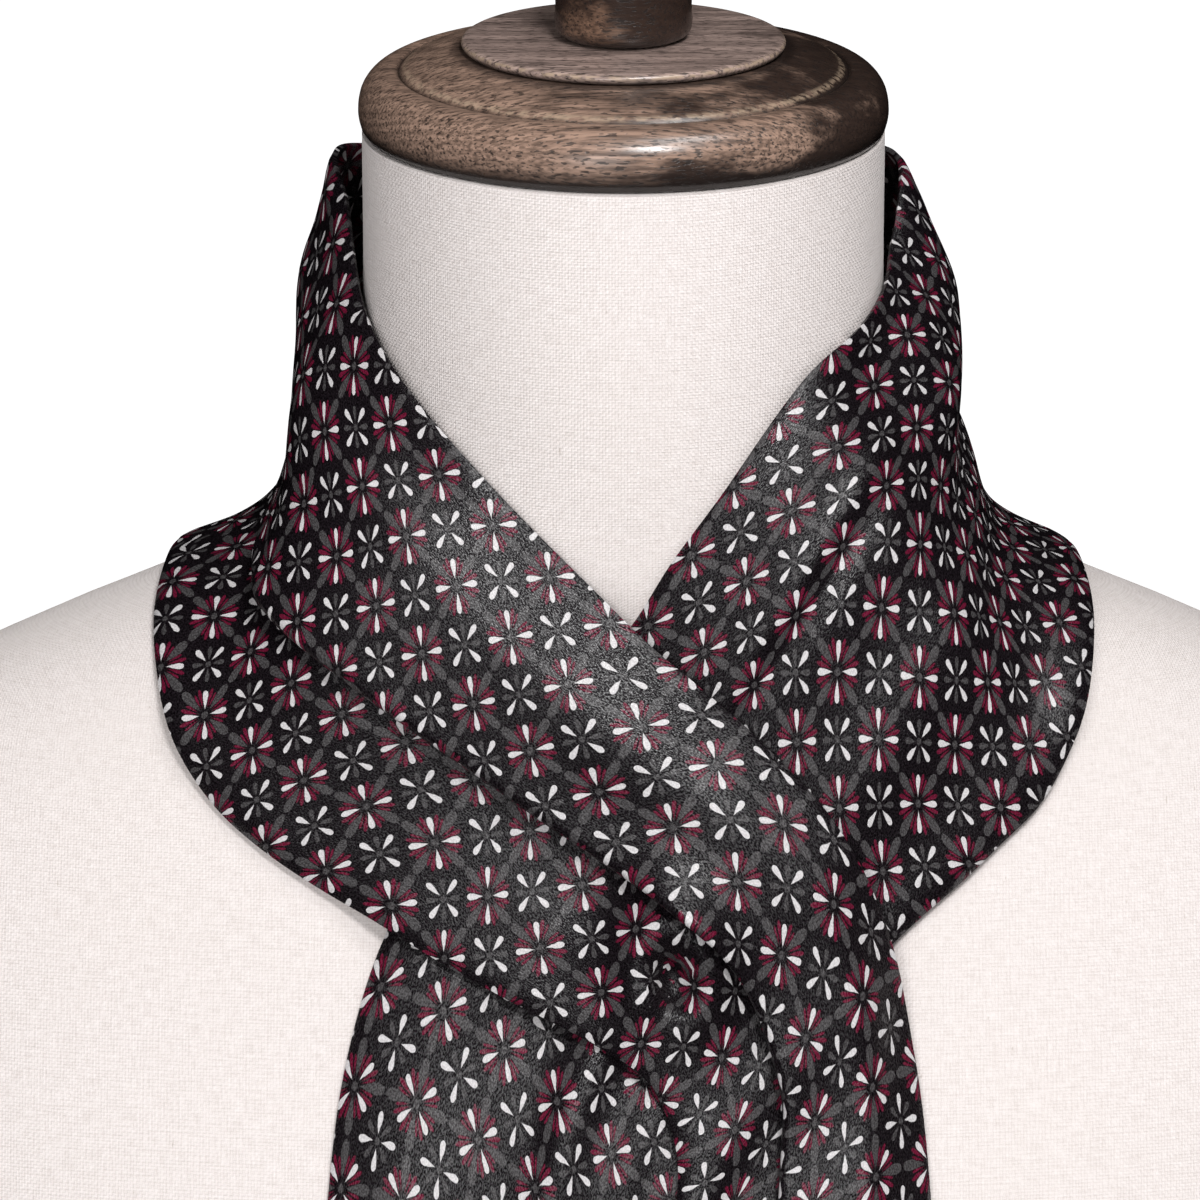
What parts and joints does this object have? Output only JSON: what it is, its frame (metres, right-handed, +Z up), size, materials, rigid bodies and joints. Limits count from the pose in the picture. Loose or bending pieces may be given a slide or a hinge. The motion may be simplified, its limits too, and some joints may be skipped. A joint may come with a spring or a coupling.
{
  "type": "silk scarf on a limbless dress form",
  "caption": "Long printed silk scarf worn as a cravat, crossed below the throat with both ends hanging, on a limbless linen torso form with a turned wooden neck cap.",
  "frame": {"origin": "on the floor, at the centre of the form's flat underside, straight below the pit of the neck in x and y", "axes": "+Z up, -Y the way the form faces, +X to the wearer's left"},
  "size_m": [0.3862, 0.2232, 0.7802],
  "materials": {
    "printed_silk": "charcoal twill silk with a small all-over flower print in white, dark red and grey, soft satin sheen",
    "linen": "natural off-white plain-weave linen with slubs",
    "walnut": "turned hardwood, dark brown stain worn to tan, satin varnish"
  },
  "bodies": {
    "root": {"scarf_neck": "printed_silk", "scarf_over": "printed_silk", "scarf_under": "printed_silk", "form_torso": "linen", "neck_cap": "walnut", "cap_disc": "walnut", "cap_knob": "walnut"}
  },
  "joints": []
}
